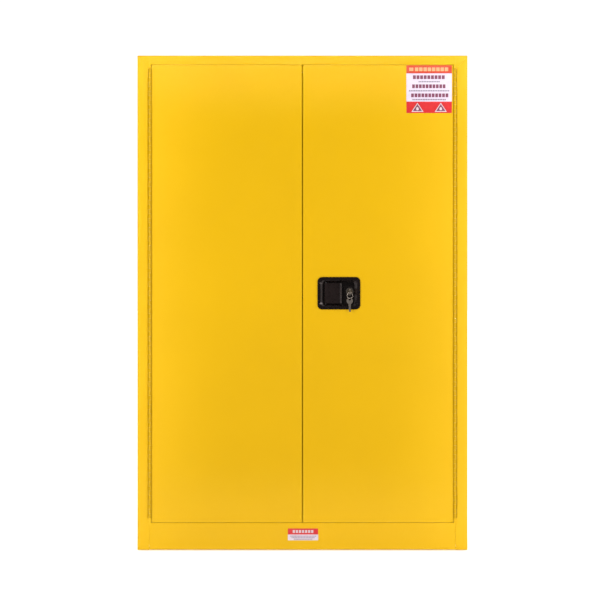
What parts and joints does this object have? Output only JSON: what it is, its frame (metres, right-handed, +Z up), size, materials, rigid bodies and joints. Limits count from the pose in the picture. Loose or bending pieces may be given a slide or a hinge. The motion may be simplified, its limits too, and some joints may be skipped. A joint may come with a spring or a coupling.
{
  "type": "flammable storage cabinet",
  "caption": "Tall yellow double-wall steel cabinet for flammable liquids, with hinged doors, a flush paddle latch with bolts and keys, lift-off shelves, a leak-proof sump and vents.",
  "frame": {"origin": "on the floor, under the middle of the cabinet's outline, doors closed", "axes": "+X to the right for someone facing the doors, +Y from the doors to the back, +Z up"},
  "size_m": [1.093, 0.494, 1.635],
  "materials": {
    "yellow_paint": "textured yellow powder coat",
    "inner_paint": "plain yellow powder coat",
    "zinc": "galvanised",
    "steel": "zinc plated",
    "painted_hinge": "yellow powder coat over steel",
    "brass": "dulled",
    "arrester_mesh": "perforated disc",
    "black_plastic": "fine grain",
    "paddle_plastic": "fine grain",
    "cap_plastic": "moulded",
    "foot_plastic": "moulded pad on a plated stud",
    "nickel": "dulled nickel plate",
    "black_steel": "blackened",
    "spring_steel": "bare wire",
    "label_print": "printed film"
  },
  "bodies": {
    "cabinet": {"left_side_panel": "yellow_paint", "right_side_panel": "yellow_paint", "top_panel": "yellow_paint", "back_panel": "yellow_paint", "base_panel": "yellow_paint", "header_rail": "yellow_paint", "kick_plate": "yellow_paint", "door_jambs": "yellow_paint", "inner_left_wall": "inner_paint", "inner_right_wall": "inner_paint", "inner_back_wall": "inner_paint", "inner_ceiling": "inner_paint", "inner_floor": "inner_paint", "sump_tray": "inner_paint", "shelf_standards": "zinc", "shelf_clips": "zinc", "upper_vent_neck": "steel", "lower_vent_neck": "steel", "flame_arresters": "arrester_mesh", "earth_stud": "brass", "earth_nut": "brass", "foot_nuts": "steel", "left_hinge_frame_leaf": "painted_hinge", "right_hinge_frame_leaf": "painted_hinge", "left_hinge_pin": "steel", "right_hinge_pin": "steel", "caution_label": "label_print"},
    "left_door": {"left_door_skin": "yellow_paint", "left_door_liner": "yellow_paint", "left_hinge_door_leaf": "painted_hinge", "meeting_flange": "yellow_paint"},
    "right_door": {"right_door_skin": "yellow_paint", "right_door_liner": "yellow_paint", "right_hinge_door_leaf": "painted_hinge", "handle_tray": "black_plastic", "handle_nuts": "steel", "paddle_pin": "black_steel", "paddle_spring": "spring_steel", "bolt_guides": "zinc", "lock_body": "nickel", "hazard_label": "label_print"},
    "paddle": {"paddle": "paddle_plastic"},
    "latch_rotor": {"latch_rotor": "steel"},
    "upper_bolt": {"upper_bolt": "steel"},
    "lower_bolt": {"lower_bolt": "steel"},
    "centre_bolt": {"centre_bolt": "black_steel"},
    "lock_plug": {"lock_plug": "brass", "key": "nickel"},
    "key_ring": {"key_ring": "nickel"},
    "spare_key": {"spare_key": "nickel"},
    "upper_shelf": {"upper_shelf": "zinc", "upper_shelf_channel": "zinc"},
    "lower_shelf": {"lower_shelf": "zinc", "lower_shelf_channel": "zinc"},
    "upper_vent_plug": {"upper_vent_plug": "cap_plastic"},
    "lower_vent_plug": {"lower_vent_plug": "cap_plastic"},
    "foot_front_left": {"foot_front_left": "foot_plastic"},
    "foot_front_right": {"foot_front_right": "foot_plastic"},
    "foot_back_left": {"foot_back_left": "foot_plastic"},
    "foot_back_right": {"foot_back_right": "foot_plastic"}
  },
  "joints": [
    {"name": "left_door_hinge", "type": "hinge", "parent": "cabinet", "child": "left_door", "pos_m": [-0.504, -0.232, 0.85], "axis": [0, 0, -1], "range_deg": [0, 180]},
    {"name": "right_door_hinge", "type": "hinge", "parent": "cabinet", "child": "right_door", "pos_m": [0.504, -0.232, 0.85], "axis": [0, 0, 1], "range_deg": [0, 180]},
    {"name": "paddle_pull", "type": "hinge", "parent": "right_door", "child": "paddle", "pos_m": [0.077, -0.223, 0.85], "axis": [0, 0, -1], "range_deg": [0, 30], "stiffness_Nm_per_rad": 0.8, "springref_deg": -28.65},
    {"name": "rotor_turn", "type": "hinge", "parent": "right_door", "child": "latch_rotor", "pos_m": [0.0825, -0.201, 0.864], "axis": [0, -1, 0], "range_deg": [0, 22.6]},
    {"name": "upper_bolt_slide", "type": "slide", "parent": "right_door", "child": "upper_bolt", "axis": [0, 0, -1], "range_m": [0, 0.01326]},
    {"name": "lower_bolt_slide", "type": "slide", "parent": "right_door", "child": "lower_bolt", "axis": [0, 0, 1], "range_m": [0, 0.01325]},
    {"name": "centre_bolt_slide", "type": "slide", "parent": "right_door", "child": "centre_bolt", "axis": [1, 0, 0], "range_m": [0, 0.01078]},
    {"name": "key_turn", "type": "hinge", "parent": "right_door", "child": "lock_plug", "pos_m": [0.1565, -0.231, 0.855], "axis": [0, -1, 0], "range_deg": [0, 90]},
    {"name": "key_ring_swing", "type": "hinge", "parent": "lock_plug", "child": "key_ring", "pos_m": [0.1565, -0.241, 0.855], "axis": [-1, 0, 0], "range_deg": [0, 40]},
    {"name": "spare_key_swing", "type": "hinge", "parent": "key_ring", "child": "spare_key", "pos_m": [0.1565, -0.241, 0.83], "axis": [0.342, 0.9397, 0], "range_deg": [-15, 15]},
    {"name": "upper_shelf_lift", "type": "slide", "parent": "cabinet", "child": "upper_shelf", "axis": [0, 0, 1], "range_m": [0, 0.05]},
    {"name": "lower_shelf_lift", "type": "slide", "parent": "cabinet", "child": "lower_shelf", "axis": [0, 0, 1], "range_m": [0, 0.05]},
    {"name": "upper_vent_plug_unscrew", "type": "slide", "parent": "cabinet", "child": "upper_vent_plug", "axis": [1, 0, 0], "range_m": [0, 0.03]},
    {"name": "lower_vent_plug_unscrew", "type": "slide", "parent": "cabinet", "child": "lower_vent_plug", "axis": [-1, 0, 0], "range_m": [0, 0.03]},
    {"name": "foot_front_left_screw", "type": "slide", "parent": "cabinet", "child": "foot_front_left", "axis": [0, 0, -1], "range_m": [0, 0.02]},
    {"name": "foot_front_right_screw", "type": "slide", "parent": "cabinet", "child": "foot_front_right", "axis": [0, 0, -1], "range_m": [0, 0.02]},
    {"name": "foot_back_left_screw", "type": "slide", "parent": "cabinet", "child": "foot_back_left", "axis": [0, 0, -1], "range_m": [0, 0.02]},
    {"name": "foot_back_right_screw", "type": "slide", "parent": "cabinet", "child": "foot_back_right", "axis": [0, 0, -1], "range_m": [0, 0.02]}
  ],
  "couplings": [
    {"joint": "paddle_pull", "follows": "lower_bolt_slide", "rad_per_m": 39.502},
    {"joint": "rotor_turn", "follows": "lower_bolt_slide", "rad_per_m": 29.627},
    {"joint": "upper_bolt_slide", "follows": "lower_bolt_slide", "ratio": 1},
    {"joint": "centre_bolt_slide", "follows": "lower_bolt_slide", "ratio": 0.8125}
  ]
}
